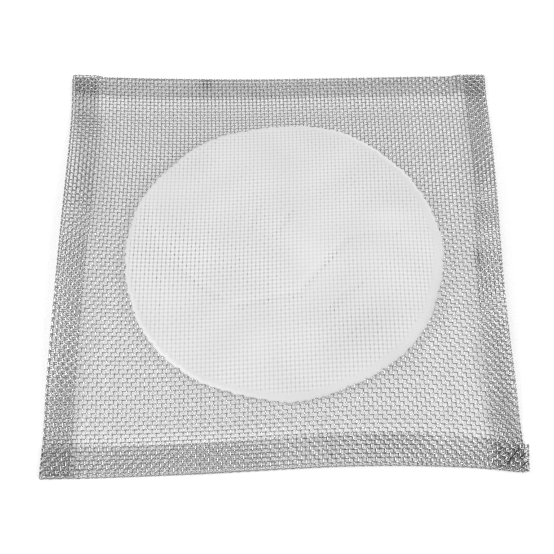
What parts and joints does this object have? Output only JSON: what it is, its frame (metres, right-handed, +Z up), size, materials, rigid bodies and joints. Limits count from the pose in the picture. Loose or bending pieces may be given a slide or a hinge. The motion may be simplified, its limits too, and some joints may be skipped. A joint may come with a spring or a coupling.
{
  "type": "wire gauze",
  "caption": "Square of woven steel wire cloth with folded hems and a round ceramic fibre centre, laid over a tripod to spread a burner's flame under a flask.",
  "frame": {"origin": "middle of the footprint, at the level of the bench that the front and back hems lie on", "axes": "+Z up through the ceramic face, +X to the right along the front edge, +Y from the front edge to the back edge"},
  "size_m": [0.1514, 0.15, 0.0066],
  "materials": {
    "wire": "drawn steel wire, dull grey with bright crowns",
    "ceramic": "matte pressed ceramic fibre, off-white"
  },
  "bodies": {
    "root": {"wire_cloth": "wire", "ceramic_centre": "ceramic"}
  },
  "joints": []
}
